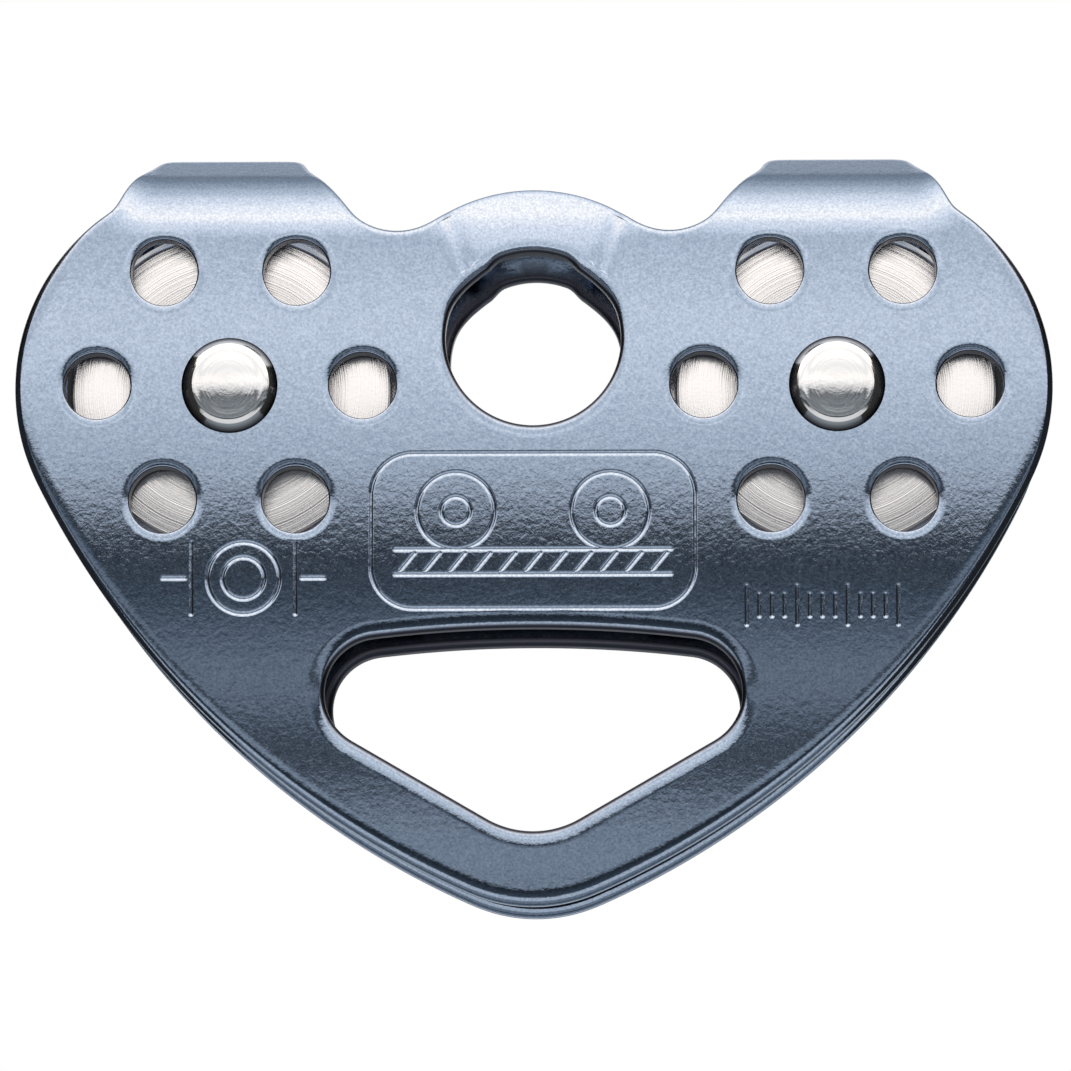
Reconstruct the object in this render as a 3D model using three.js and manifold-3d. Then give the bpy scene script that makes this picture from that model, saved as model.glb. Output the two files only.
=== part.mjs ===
// In-line double rope pulley with fixed side plates, in millimetres.
// X runs along the rope, Y across the plates (the front plate is at -Y) and Z is up.
// The origin is midway between the two sheaves, on the line where the rope touches
// the bottom of both treads.
import * as THREE from 'three';
import { mergeVertices } from 'three/addons/utils/BufferGeometryUtils.js';
import Module from 'manifold-3d';

const wasm = await Module();
wasm.setup();

// ---------- Driving dimensions ----------

// Rope and sheaves.
const ropeDiameter = 13; // the thickest rope that the groove takes
const treadDiameter = 21; // bottom of the groove
const flangeHeight = 9.45; // from the tread to the rim
const grooveFlare = 0.35; // how far each flank leans out at the rim
const rimLand = 0.7; // flat width of each rim, before its chamfer
const rimChamferRadial = 0.9;
const grooveArc = 80; // degrees of the groove's round bottom, each side of its middle
const sideClearance = 0.7; // between a sheave's face and the plate

// Axle stack, from the pin outwards.
const axleSpacing = 72.6;
const pinRadius = 4;
const headOverhang = 1.75; // how far the rivet head reaches past its pin
const headHeight = 2.1;
const headEdgeHeight = 0.9; // straight side of the head
const sleeveWall = 1.45;
const bushingWall = 1.45;
const bushingFlangeOverhang = 1.6;
const bushingFlangeThickness = 0.9;
const washerThickness = 0.5;
const assemblyClearance = 0.05; // round parts that do not turn on each other
const runningClearance = 0.06; // bushing on sleeve
const thrustClearance = 0.1; // bushing flange to washer
const recessClearance = 0.7; // sheave recess round the bushing flange
const bushingGap = 1.5; // grease gap between the two bushings in one sheave

// Side plates.
const plateThickness = 3;
const plateOverhang = 5.85; // from the sheave's rim to the lobe's edge
const toeDrop = 62.4; // from the axles down to the lowest point
const toeRadius = 19;
const sideArcRadius = 105; // long curve from a lobe down to the toe

// Tabs that fold in over the sheaves.
const tabBendBelowRim = 2.3; // the bend starts this far below the sheave's top
const tabBendAngle = 57;
const tabBendOffset = 0.85; // bend centre, outward of the middle plane
const tabSlot = 1; // gap between the front and rear tab ends
const tabFoldHalfWidth = 9.85; // at the end of the bend
const tabEndHalfWidth = 8.5;
const tabCornerRadius = 1.2;
const shoulderAngle = 64.4; // where a tab leaves its lobe, seen from the axle

// Centre hole and the flap above it.
const centreHoleDiameter = 21;
const centreHoleRise = 5.7; // hole centre above the axles
const crestBand = 8.1; // material above the hole
const saddleDip = 5.4; // lowest point of a saddle below the crest
const saddleRadius = 7.5;
const flapBendBelowHoleTop = 1.5;
const flapAngle = 14;
const flapHalfWidth = 8.2;
const sheetOverlap = 0.01; // of the flap and tab lengths of a plate, so that they join

// Lightening holes round each axle.
const lighteningHoleCount = 6;
const lighteningHoleRadius = 4;
const lighteningWeb = 10.15; // from the rivet head's edge to the ring of hole centres

// Lower opening for the connector.
const openingCornerInset = 18.05; // corner arc's centre, inward of the axle
const openingCornerRise = 25.5; // corner arc's centre, above the lowest point
const openingCornerRadius = 6.6;
const openingCrownRadius = 160;
const openingToeRadius = 11;
const toeBand = 9; // material below the opening

// Facets.
const chordTolerance = 0.05; // how far a facet may stray from its arc
const plateHoleSegments = 16;
const crownSteps = 4; // facets from a rivet head's middle to its edge
const roundSegments = 32;
const sheaveSegments = 40;

// ---------- Values worked out from them ----------

const axleX = axleSpacing / 2;
const treadRadius = treadDiameter / 2;
const axleZ = treadRadius;
const grooveRadius = ropeDiameter / 2;
const sheaveRadius = treadRadius + flangeHeight;
const sheaveHalfWidth = grooveRadius + grooveFlare + rimLand;
const plateInnerY = sheaveHalfWidth + sideClearance;
const plateOuterY = plateInnerY + plateThickness;

const sleeveInner = pinRadius + assemblyClearance;
const sleeveOuter = sleeveInner + sleeveWall;
const bushingInner = sleeveOuter + runningClearance;
const bushingOuter = bushingInner + bushingWall;
const bushingFlange = bushingOuter + bushingFlangeOverhang;
const headRadius = pinRadius + headOverhang;
const washerInnerY = plateInnerY - washerThickness;
const flangeOuterY = washerInnerY - thrustClearance;
const hubHalfWidth = flangeOuterY - bushingFlangeThickness;

const lobeRadius = sheaveRadius + plateOverhang;
const tabBendStart = sheaveRadius - tabBendBelowRim;
const tabInnerBend = plateInnerY - tabBendOffset;
const tabOuterBend = tabInnerBend + plateThickness;
const centreHoleRadius = centreHoleDiameter / 2;
const centreHoleTop = centreHoleRise + centreHoleRadius;
const crest = centreHoleTop + crestBand;
const flapBendStart = centreHoleTop - flapBendBelowHoleTop;
const lighteningCircle = headRadius + lighteningWeb;

const radians = THREE.MathUtils.degToRad;
const point = (x, y) => new THREE.Vector2(x, y);

// ---------- Solids ----------

function solidOf(geometry) {
  const bare = geometry.clone();
  bare.deleteAttribute('normal');
  bare.deleteAttribute('uv');
  const merged = mergeVertices(bare);
  const mesh = new wasm.Mesh({
    numProp: 3,
    vertProperties: new Float32Array(merged.attributes.position.array),
    triVerts: new Uint32Array(merged.index.array),
  });
  return new wasm.Manifold(mesh);
}

function geometryOf(solid) {
  const mesh = solid.getMesh();
  const geometry = new THREE.BufferGeometry();
  geometry.setAttribute('position', new THREE.BufferAttribute(new Float32Array(mesh.vertProperties), 3));
  geometry.setIndex(new THREE.BufferAttribute(new Uint32Array(mesh.triVerts), 1));
  geometry.computeVertexNormals();
  return geometry;
}

// An outline in the XZ plane, extruded across the pulley from fromY to toY.
function acrossPrism(points, fromY, toY) {
  const geometry = new THREE.ExtrudeGeometry(new THREE.Shape(points), {
    depth: toY - fromY,
    bevelEnabled: false,
  });
  geometry.rotateX(Math.PI / 2);
  geometry.translate(0, toY, 0);
  return solidOf(geometry);
}

// A section in the YZ plane, extruded along the rope from fromX to toX.
function alongPrism(points, fromX, toX) {
  const geometry = new THREE.ExtrudeGeometry(new THREE.Shape(points), {
    depth: toX - fromX,
    bevelEnabled: false,
  });
  geometry.rotateX(Math.PI / 2);
  geometry.rotateZ(Math.PI / 2);
  geometry.translate(fromX, 0, 0);
  return solidOf(geometry);
}

// A hole cutter along Y that runs through the whole pulley.
function acrossCutter(x, z, radius, segments) {
  const geometry = new THREE.CylinderGeometry(radius, radius, 4 * plateOuterY, segments);
  geometry.translate(x, 0, z);
  return solidOf(geometry);
}

// ---------- Outlines, with Z counted from the axles ----------

function arcPoints(centre, radius, fromDegrees, toDegrees) {
  const facetTurn = 2 * Math.acos(1 - chordTolerance / radius);
  const steps = Math.ceil(Math.abs(radians(toDegrees - fromDegrees)) / facetTurn);
  const points = [];
  for (let i = 0; i <= steps; i++) {
    const angle = radians(fromDegrees + ((toDegrees - fromDegrees) * i) / steps);
    points.push(point(centre.x + radius * Math.cos(angle), centre.y + radius * Math.sin(angle)));
  }
  return points;
}

function degreesFrom(centre, target) {
  const degrees = THREE.MathUtils.radToDeg(Math.atan2(target.y - centre.y, target.x - centre.x));
  return (degrees + 360) % 360;
}

function roundedCorner(before, corner, after, radius) {
  const toBefore = before.clone().sub(corner).normalize();
  const toAfter = after.clone().sub(corner).normalize();
  const halfAngle = Math.acos(toBefore.dot(toAfter)) / 2;
  const middle = toBefore.clone().add(toAfter).normalize();
  const centre = corner.clone().addScaledVector(middle, radius / Math.sin(halfAngle));
  const reach = radius / Math.tan(halfAngle);
  const from = degreesFrom(centre, corner.clone().addScaledVector(toBefore, reach));
  const to = degreesFrom(centre, corner.clone().addScaledVector(toAfter, reach));
  const turn = ((to - from + 540) % 360) - 180;
  return arcPoints(centre, radius, from, from + turn);
}

// The centre of a large arc that touches two smaller arcs from outside.
function touchingCentre(first, firstRadius, second, secondRadius, radius) {
  const toFirst = radius - firstRadius;
  const toSecond = radius - secondRadius;
  const apart = second.clone().sub(first);
  const distance = apart.length();
  const along = (toFirst ** 2 - toSecond ** 2 + distance ** 2) / (2 * distance);
  const aside = Math.sqrt(toFirst ** 2 - along ** 2);
  const direction = apart.normalize();
  const foot = first.clone().addScaledVector(direction, along);
  return foot.add(point(-direction.y, direction.x).multiplyScalar(aside));
}

// The left half goes from the top middle round to the bottom middle; the right half mirrors it.
function mirrored(half) {
  const other = half.slice(1, -1).reverse().map((p) => point(-p.x, p.y));
  return half.concat(other);
}

// Height and depth of a tab's outer surface at the end of its bend, and its end length.
const tabTurn = radians(tabBendAngle);
const tabFoldZ = tabBendStart + tabOuterBend * Math.sin(tabTurn);
const tabFoldY = -plateOuterY + tabOuterBend * (1 - Math.cos(tabTurn));
const tabEndLength = (-tabFoldY - tabSlot / 2 - plateThickness * Math.cos(tabTurn)) / Math.sin(tabTurn);
const tabEndZ = tabFoldZ + tabEndLength * Math.cos(tabTurn);

function crestAndSaddle(tabFoldInner) {
  const saddle = point(sheaveRadius - axleX, crest - saddleDip + saddleRadius);
  const above = saddle.y - crest;
  const archRadius = (saddle.x ** 2 + above ** 2 - saddleRadius ** 2) / (2 * (saddleRadius - above));
  const arch = point(0, crest - archRadius);
  const archEnd = degreesFrom(arch, saddle);
  const toTab = saddle.distanceTo(tabFoldInner);
  const leave = THREE.MathUtils.radToDeg(Math.acos(saddleRadius / toTab));
  return [
    ...arcPoints(arch, archRadius, 90, archEnd),
    ...arcPoints(saddle, saddleRadius, archEnd + 180, degreesFrom(saddle, tabFoldInner) + leave).slice(1),
  ];
}

function tabOutline() {
  const foldInner = point(-axleX + tabFoldHalfWidth, tabFoldZ);
  const endInner = point(-axleX + tabEndHalfWidth, tabEndZ);
  const endOuter = point(-axleX - tabEndHalfWidth, tabEndZ);
  const foldOuter = point(-axleX - tabFoldHalfWidth, tabFoldZ);
  return [
    foldInner,
    ...roundedCorner(foldInner, endInner, endOuter, tabCornerRadius),
    ...roundedCorner(endInner, endOuter, foldOuter, tabCornerRadius),
    foldOuter,
  ];
}

function plateOutline() {
  const lobe = point(-axleX, 0);
  const toe = point(0, toeRadius - toeDrop);
  const side = touchingCentre(lobe, lobeRadius, toe, toeRadius, sideArcRadius);
  const lobeEnd = degreesFrom(side, lobe);
  const sideEnd = degreesFrom(side, toe);
  const tab = tabOutline();
  return mirrored([
    ...crestAndSaddle(tab[0]),
    ...tab,
    ...arcPoints(lobe, lobeRadius, 180 - shoulderAngle, lobeEnd),
    ...arcPoints(side, sideArcRadius, lobeEnd, sideEnd).slice(1),
    ...arcPoints(toe, toeRadius, sideEnd, 270).slice(1),
  ]);
}

function openingOutline() {
  const corner = point(openingCornerInset - axleX, openingCornerRise - toeDrop);
  const toe = point(0, toeBand - toeDrop + openingToeRadius);
  const crownReach = openingCrownRadius - openingCornerRadius;
  const crown = point(0, corner.y - Math.sqrt(crownReach ** 2 - corner.x ** 2));
  const crownEnd = degreesFrom(crown, corner);
  const apart = corner.distanceTo(toe);
  const spread = THREE.MathUtils.radToDeg(Math.asin((openingToeRadius - openingCornerRadius) / apart));
  const flank = degreesFrom(corner, toe) - 90 - spread;
  return mirrored([
    ...arcPoints(crown, openingCrownRadius, 90, crownEnd),
    ...arcPoints(corner, openingCornerRadius, crownEnd, flank).slice(1),
    ...arcPoints(toe, openingToeRadius, flank, 270),
  ]);
}

function raised(points) {
  return points.map((p) => point(p.x, p.y + axleZ));
}

// ---------- Sheet sections of the front plate: Y across, Z up from the axles ----------

function tabSection() {
  const bend = point(-tabBendOffset, tabBendStart);
  const outer = arcPoints(bend, tabOuterBend, 180, 180 - tabBendAngle);
  const inner = arcPoints(bend, tabInnerBend, 180, 180 - tabBendAngle);
  const end = point(Math.sin(tabTurn), Math.cos(tabTurn)).multiplyScalar(tabEndLength);
  return [
    point(-plateOuterY, -toeDrop - 1),
    ...outer,
    outer[outer.length - 1].clone().add(end),
    inner[inner.length - 1].clone().add(end),
    ...inner.reverse(),
    point(-plateInnerY, -toeDrop - 1),
  ];
}

function flapSection() {
  const turn = radians(flapAngle);
  const top = crest + plateThickness;
  const innerStart = flapBendStart - plateThickness * Math.tan(turn / 2);
  const outerY = -plateOuterY + (top - flapBendStart) * Math.tan(turn);
  const innerY = -plateInnerY + (top - innerStart) * Math.tan(turn);
  return [
    point(-plateOuterY, -toeDrop - 1),
    point(-plateOuterY, flapBendStart),
    point(outerY, top),
    point(innerY, top),
    point(-plateInnerY, innerStart),
    point(-plateInnerY, -toeDrop - 1),
  ];
}

// ---------- Sub-parts ----------

function frontPlateSolid() {
  const farX = axleX + lobeRadius + 1;
  const tabStartX = flapHalfWidth - sheetOverlap;
  let sheet = alongPrism(raised(flapSection()), -flapHalfWidth, flapHalfWidth);
  sheet = sheet.add(alongPrism(raised(tabSection()), -farX, -tabStartX));
  sheet = sheet.add(alongPrism(raised(tabSection()), tabStartX, farX));
  let plate = sheet.intersect(acrossPrism(raised(plateOutline()), -plateOuterY - 1, 0));
  plate = plate.subtract(acrossPrism(raised(openingOutline()), -plateOuterY - 1, 0));
  plate = plate.subtract(acrossCutter(0, axleZ + centreHoleRise, centreHoleRadius, roundSegments));
  for (const side of [-1, 1]) {
    plate = plate.subtract(acrossCutter(side * axleX, axleZ, pinRadius + assemblyClearance, roundSegments));
    for (let i = 0; i < lighteningHoleCount; i++) {
      const angle = (2 * Math.PI * i) / lighteningHoleCount;
      const x = side * axleX + lighteningCircle * Math.cos(angle);
      const z = axleZ + lighteningCircle * Math.sin(angle);
      plate = plate.subtract(acrossCutter(x, z, lighteningHoleRadius, plateHoleSegments));
    }
  }
  return plate;
}

// A turned piece on the Y axis. The profile is a closed loop of [radius, y] corners.
function turned(profile, segments) {
  const corners = profile.map(([radius, y]) => point(radius, y));
  corners.push(corners[0].clone());
  return new THREE.LatheGeometry(corners, segments);
}

function sheaveGeometry() {
  const bore = bushingOuter + assemblyClearance;
  const recess = bushingFlange + recessClearance;
  const grooveCentre = treadRadius + grooveRadius;
  const groove = arcPoints(point(grooveCentre, 0), grooveRadius, 180 + grooveArc, 180 - grooveArc);
  const rimInner = sheaveHalfWidth - rimLand;
  return turned([
    [bore, -hubHalfWidth],
    [recess, -hubHalfWidth],
    [recess, -sheaveHalfWidth],
    [sheaveRadius - rimChamferRadial, -sheaveHalfWidth],
    [sheaveRadius, -rimInner],
    ...groove.map((p) => [p.x, p.y]),
    [sheaveRadius, rimInner],
    [sheaveRadius - rimChamferRadial, sheaveHalfWidth],
    [recess, sheaveHalfWidth],
    [recess, hubHalfWidth],
    [bore, hubHalfWidth],
  ], sheaveSegments);
}

// side is -1 for the front of the pulley and 1 for the rear.
function bushingGeometry(side) {
  const corners = [
    [bushingInner, bushingGap / 2],
    [bushingOuter, bushingGap / 2],
    [bushingOuter, hubHalfWidth],
    [bushingFlange, hubHalfWidth],
    [bushingFlange, flangeOuterY],
    [bushingInner, flangeOuterY],
  ];
  return turned(facing(corners, side), roundSegments);
}

function washerGeometry(side) {
  const inner = sleeveOuter + assemblyClearance;
  const corners = [
    [inner, washerInnerY],
    [bushingFlange, washerInnerY],
    [bushingFlange, plateInnerY],
    [inner, plateInnerY],
  ];
  return turned(facing(corners, side), roundSegments);
}

function facing(corners, side) {
  return side > 0 ? corners : corners.map(([radius, y]) => [radius, -y]).reverse();
}

function sleeveGeometry() {
  return turned([
    [sleeveInner, -plateInnerY],
    [sleeveOuter, -plateInnerY],
    [sleeveOuter, plateInnerY],
    [sleeveInner, plateInnerY],
  ], roundSegments);
}

// A solid pin with a shallow domed head closed down on each plate.
function rivetGeometry() {
  const crownHeight = headHeight - headEdgeHeight;
  const rearHead = [];
  for (let i = 0; i <= crownSteps; i++) {
    const angle = (Math.PI / 2) * (i / crownSteps);
    rearHead.push([headRadius * Math.sin(angle), plateOuterY + headEdgeHeight + crownHeight * Math.cos(angle)]);
  }
  rearHead.push([headRadius, plateOuterY], [pinRadius, plateOuterY]);
  const frontHead = rearHead.map(([radius, y]) => [radius, -y]);
  const corners = [...frontHead, ...rearHead.reverse()];
  return new THREE.LatheGeometry(corners.map(([radius, y]) => point(radius, y)), roundSegments);
}

// ---------- Assembly ----------

const materials = {
  plate: { color: 0x7f93b4, roughness: 0.38, metalness: 0.85 },
  sheave: { color: 0xc9c4be, roughness: 0.35, metalness: 0.95 },
  bushing: { color: 0x4a4540, roughness: 0.6, metalness: 0.2 },
  steel: { color: 0xd4d2d0, roughness: 0.2, metalness: 1 },
};

const group = new THREE.Group();

function place(name, geometry, finish, x, z) {
  const mesh = new THREE.Mesh(geometry, new THREE.MeshStandardMaterial(materials[finish]));
  mesh.name = name;
  mesh.position.set(x, 0, z);
  group.add(mesh);
}

const frontPlate = frontPlateSolid();
place('front_side_plate', geometryOf(frontPlate), 'plate', 0, 0);
place('rear_side_plate', geometryOf(frontPlate.mirror([0, 1, 0])), 'plate', 0, 0);

for (const [hand, x] of [['left', -axleX], ['right', axleX]]) {
  place(`${hand}_sheave`, sheaveGeometry(), 'sheave', x, axleZ);
  place(`${hand}_axle_sleeve`, sleeveGeometry(), 'steel', x, axleZ);
  place(`${hand}_axle_rivet`, rivetGeometry(), 'steel', x, axleZ);
  for (const [end, side] of [['front', -1], ['rear', 1]]) {
    place(`${hand}_${end}_bushing`, bushingGeometry(side), 'bushing', x, axleZ);
    place(`${hand}_${end}_thrust_washer`, washerGeometry(side), 'steel', x, axleZ);
  }
}

export default group;
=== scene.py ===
"""Looks of an in-line double rope pulley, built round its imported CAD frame.

Each piece is a fine mesh made here in code, and stands for one CAD node. Shapes are worked out in millimetres
and become metres when a mesh is made. X runs along the rope, Y across the plates and Z up.
"""

import math

import bpy
import numpy as np
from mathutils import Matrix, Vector, geometry, kdtree


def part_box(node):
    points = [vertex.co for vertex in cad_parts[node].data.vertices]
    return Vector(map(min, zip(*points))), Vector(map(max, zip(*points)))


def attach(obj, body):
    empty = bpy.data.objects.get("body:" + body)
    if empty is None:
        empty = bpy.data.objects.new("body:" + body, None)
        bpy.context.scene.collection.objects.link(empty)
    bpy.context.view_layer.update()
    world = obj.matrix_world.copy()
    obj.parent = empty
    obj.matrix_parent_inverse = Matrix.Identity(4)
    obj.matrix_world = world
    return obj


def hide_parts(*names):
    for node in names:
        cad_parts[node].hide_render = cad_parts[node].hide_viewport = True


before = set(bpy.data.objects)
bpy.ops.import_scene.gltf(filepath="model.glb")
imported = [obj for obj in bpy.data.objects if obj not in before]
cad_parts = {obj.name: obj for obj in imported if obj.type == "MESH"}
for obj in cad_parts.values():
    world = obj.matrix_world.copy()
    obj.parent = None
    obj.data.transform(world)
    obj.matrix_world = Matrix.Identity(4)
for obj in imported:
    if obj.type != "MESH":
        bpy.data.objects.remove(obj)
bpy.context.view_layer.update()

MM = 0.001


# ---------- Sizes taken from the frame, in millimetres ----------

def node_box(name):
    low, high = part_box(name)
    return np.array(low) / MM, np.array(high) / MM


rivet_low, rivet_high = node_box("right_axle_rivet")
sleeve_low, sleeve_high = node_box("right_axle_sleeve")
sheave_low, sheave_high = node_box("right_sheave")
bushing_low, bushing_high = node_box("right_rear_bushing")
washer_low = node_box("right_rear_thrust_washer")[0]
plate_low, plate_high = node_box("front_side_plate")

AXLE_X = (rivet_low[0] + rivet_high[0]) / 2
AXLE_Z = (rivet_low[2] + rivet_high[2]) / 2
OUTER_Y = -plate_low[1]
INNER_Y = sleeve_high[1]
THICKNESS = OUTER_Y - INNER_Y
HEAD_RADIUS = (rivet_high[0] - rivet_low[0]) / 2
HEAD_HEIGHT = rivet_high[1] - OUTER_Y
SLEEVE_RADIUS = (sleeve_high[0] - sleeve_low[0]) / 2
SHEAVE_RADIUS = (sheave_high[0] - sheave_low[0]) / 2
SHEAVE_HALF = sheave_high[1]
FLANGE_RADIUS = (bushing_high[0] - bushing_low[0]) / 2
FLANGE_OUTER_Y = bushing_high[1]
WASHER_INNER_Y = washer_low[1]
TOE_DROP = AXLE_Z - plate_low[2]
TAB_TOP = plate_high[2] - AXLE_Z
LOBE_RADIUS = plate_high[0] - AXLE_X

# ---------- Sizes of the side plate, in millimetres, with heights counted from the axles ----------

TOE_RADIUS = 19
SIDE_RADIUS = 105
TAB_BEND_START = SHEAVE_RADIUS - 2.3
TAB_BEND_RADIUS = OUTER_Y - 0.85
TAB_BEND = math.radians(57)
TAB_FOLD_INNER = 8.9
TAB_FOLD_OUTER = 12.2
TAB_FOLD_OUTER_DROP = 0.9
TAB_BEND_FADE = (9.5, 17)
TAB_END_HALF_WIDTH = 9.0
TAB_CORNER_RADIUS = 1.5
SHOULDER_ANGLE = 57.0
CENTRE_HOLE_RADIUS = 10.5
CENTRE_HOLE_RISE = 5.7
CREST = CENTRE_HOLE_RISE + CENTRE_HOLE_RADIUS + 8.1
SADDLE_DIP = 5.4
SADDLE_RADIUS = 7.5
FLAP_BEND_START = 13.7
FLAP_BEND_RADIUS = 28
FLAP_BEND = math.radians(20)
FLAP_HALF_WIDTH = 7.6
FLAP_SPREAD = 0.4
FLAP_CREASE = 1.1
CREASE_DEPTH = 0.30
CREASE_WIDTH = 0.8
CREASE_START = (11.5, 15)
CREASE_END = (18, 22)
CREST_NOTCH = 0.6
CREST_NOTCH_START = (21, 35)  # degrees from straight up, as seen from the hole's middle
CREST_NOTCH_END = (38, 73)
OUTLINE_EASING = 9
NARROW_EDGE_HEIGHT = (14, 20)
# The outline's painted edge shade is none below the first height and full above the second, so the edges are
# darker towards the top.
SHADED_EDGE_HEIGHT = (-4, 8)
HOLE_RADIUS = 4.0
HOLE_CIRCLE = HEAD_RADIUS + 10.15
HOLE_COUNT = 6
OPENING_CORNER = (AXLE_X - 18.05, 25.5 - TOE_DROP)
OPENING_CORNER_RADIUS = 6.6
OPENING_CROWN_RADIUS = 160
OPENING_TOE_RADIUS = 11
TOE_BAND = 9

# Edges: where a stamped edge starts to roll over, how deep it rolls, the power it rolls by,
# its corner's radius, and its corner's radius on the inner side.
OUTLINE_EDGE = (2.1, 0.22, 2.0, 0.95, 1.1)
OPENING_EDGE = (2.1, 0.36, 1.4, 0.8, 1.0)
CENTRE_EDGE = (1.7, 0.18, 2.0, 0.70, 0.8)
HOLE_EDGE = (1.05, 0.16, 2.0, 0.25, 0.3)
PIN_EDGE = (0.3, 0.0, 2.0, 0.1, 0.1)
NARROW_EDGE = 0.43
ROLL_STEPS = 8
CORNER_STEPS = 8
BACK_STEPS = 7
SHADE_AFTER_ROLL = 1  # the level after the roll at which an edge's painted shade, and on the plate its rougher finish, is half full
SHADE_AFTER_HOLE_ROLL = 2
GRID = 0.8
ENGRAVED_GRID = 0.11
GRID_CLEARANCE = 0.6 * GRID
CONTOUR_STEP = 0.42
UNBENT_SEARCH = (-1, 12)  # how far below and above a bent point its place on the blank can be
UNBENT_ROUNDS = 40
MERGE_DISTANCE = 1e-7
SHARP_ANGLE = math.radians(50)

# The rivets, in millimetres.
PIN_RADIUS = HEAD_RADIUS - 1.75
PIN_HOLE_RADIUS = HEAD_RADIUS - 1.7
DOME_RADIUS = 4.35
DOME_DROP = 0.40
TURNED_LINE_RADIUS = 3.7
TURNED_LINE_DEPTH = 0.05
TURNED_LINE_WIDTH = 0.16
DOME_POINTS = 16
BEVEL_DROP = 0.03
BEVEL_START = DOME_RADIUS + 0.06
BEVEL_WIDTH = 0.5
BEVEL_SLOPES = (0.40, 0.51)
BEVEL_POINTS = 6
HEAD_FOOT = [(0.12, 0.14), (0, 0.05), (0.05, 0)]  # insets from the head's radius, and heights
SHADED_SIDE = (0.01, 0.1)  # how far outside the bevel the painted shade on the side starts, and where it is full

# The sheaves and what they turn on, in millimetres.
TREAD_RADIUS = 10.5
ROPE_GROOVE_RADIUS = 6.5
ROPE_GROOVE_SPAN = (260, 100)
ROPE_GROOVE_STEP = 0.35
SHEAVE_BORE = 7.06
HUB_Y = SHEAVE_HALF - 0.9
RECESS_RADIUS = FLANGE_RADIUS + 0.7
RIM_BEVEL = (0.8, 0.75)
BUSHING_RADIUS = 7.01
BUSHING_BORE = SLEEVE_RADIUS + 0.06
BUSHING_START_Y = 0.75
BUSHING_ROUNDING = 0.15
WASHER_BORE = SLEEVE_RADIUS + 0.05
WASHER_ROUNDING = 0.12
SLEEVE_BORE = SLEEVE_RADIUS - 1.45
SLEEVE_ROUNDING = 0.2
ROUNDING_STEPS = 3
SHEAVE_SEGMENTS = 192
RIVET_SEGMENTS = 128
RING_SEGMENTS = 96

# The engraved lines, in millimetres.
GROOVE_DEPTH = 0.15
GROOVE_HALF_WIDTH = 0.32
LINE_STEP = 0.1
FRAME_MIDDLE = (0, -17.6)
FRAME_HALF_SIZE = (19.3, 9.3)
FRAME_CORNER = 5.0
WHEEL_RISE = 2.4
WHEEL_X = 9.2
WHEEL_RADIUS = 4.6
HUB_RADIUS = 1.7
ROPE_HALF_LENGTH = 16.4
ROPE_WIDTH = 3
STRAND_COUNT = 11
STRAND_SPACING = 3
STRAND_LEAN = 0.9
STRAND_GAP = 0.4
SECTION_MIDDLE = (-34.5, -23.2)
SECTION_RADII = (4.3, 2.5)
MARK_X = 6.2
MARK_LEAD = (0.8, 3.4)
TICK_COUNT = 13
TICK_START = (25.4, -26.6)
TICK_SPACING = 1.5
LONG_TICK = 2.3
SHORT_TICK = 1.3
LONG_TICK_EVERY = 4
ENGRAVED_LOW = (-46.5, -29.5)
ENGRAVED_HIGH = (45.5, -7.5)

# The mesh attribute that holds the painted edge shade, which on the plate also makes the finish rougher.
EDGE_ATTRIBUTE = "edge_shade"


# ---------- Plane outlines ----------

def arc(centre, radius, start, end, step=0.4):
    """Points along an arc, angles in degrees, about step millimetres apart."""
    count = max(3, round(abs(math.radians(end - start)) * radius / step))
    angles = np.radians(np.linspace(start, end, count + 1))
    return np.column_stack([centre[0] + radius * np.cos(angles), centre[1] + radius * np.sin(angles)])


def heading(centre, target):
    return math.degrees(math.atan2(target[1] - centre[1], target[0] - centre[0])) % 360


def rounded_corner(before, corner, after, radius):
    corner = np.array(corner)
    to_before = (np.array(before) - corner) / np.linalg.norm(np.array(before) - corner)
    to_after = (np.array(after) - corner) / np.linalg.norm(np.array(after) - corner)
    half = math.acos(float(to_before @ to_after)) / 2
    middle = (to_before + to_after) / np.linalg.norm(to_before + to_after)
    centre = corner + middle * radius / math.sin(half)
    reach = radius / math.tan(half)
    start = heading(centre, corner + to_before * reach)
    turn = (heading(centre, corner + to_after * reach) - start + 540) % 360 - 180
    return arc(centre, radius, start, start + turn)


def touching_centre(first, first_radius, second, second_radius, radius):
    """Centre of a large arc that touches two smaller ones from outside."""
    apart = np.array(second) - np.array(first)
    distance = np.linalg.norm(apart)
    to_first, to_second = radius - first_radius, radius - second_radius
    along = (to_first**2 - to_second**2 + distance**2) / (2 * distance)
    aside = math.sqrt(to_first**2 - along**2)
    direction = apart / distance
    return np.array(first) + direction * along + np.array([-direction[1], direction[0]]) * aside


def mirrored(half):
    other = half[::-1].copy()
    other[:, 0] *= -1
    return np.vstack([half, other])


def crest_and_saddle(fold_inner):
    saddle = np.array([SHEAVE_RADIUS - AXLE_X, CREST - SADDLE_DIP + SADDLE_RADIUS])
    above = saddle[1] - CREST
    radius = (saddle[0]**2 + above**2 - SADDLE_RADIUS**2) / (2 * (SADDLE_RADIUS - above))
    arch = (0, CREST - radius)
    arch_end = heading(arch, saddle)
    leave = math.degrees(math.acos(SADDLE_RADIUS / np.linalg.norm(fold_inner - saddle)))
    return [
        arc(arch, radius, 90, arch_end),
        arc(saddle, SADDLE_RADIUS, arch_end + 180, heading(saddle, fold_inner) + leave),
    ]


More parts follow.
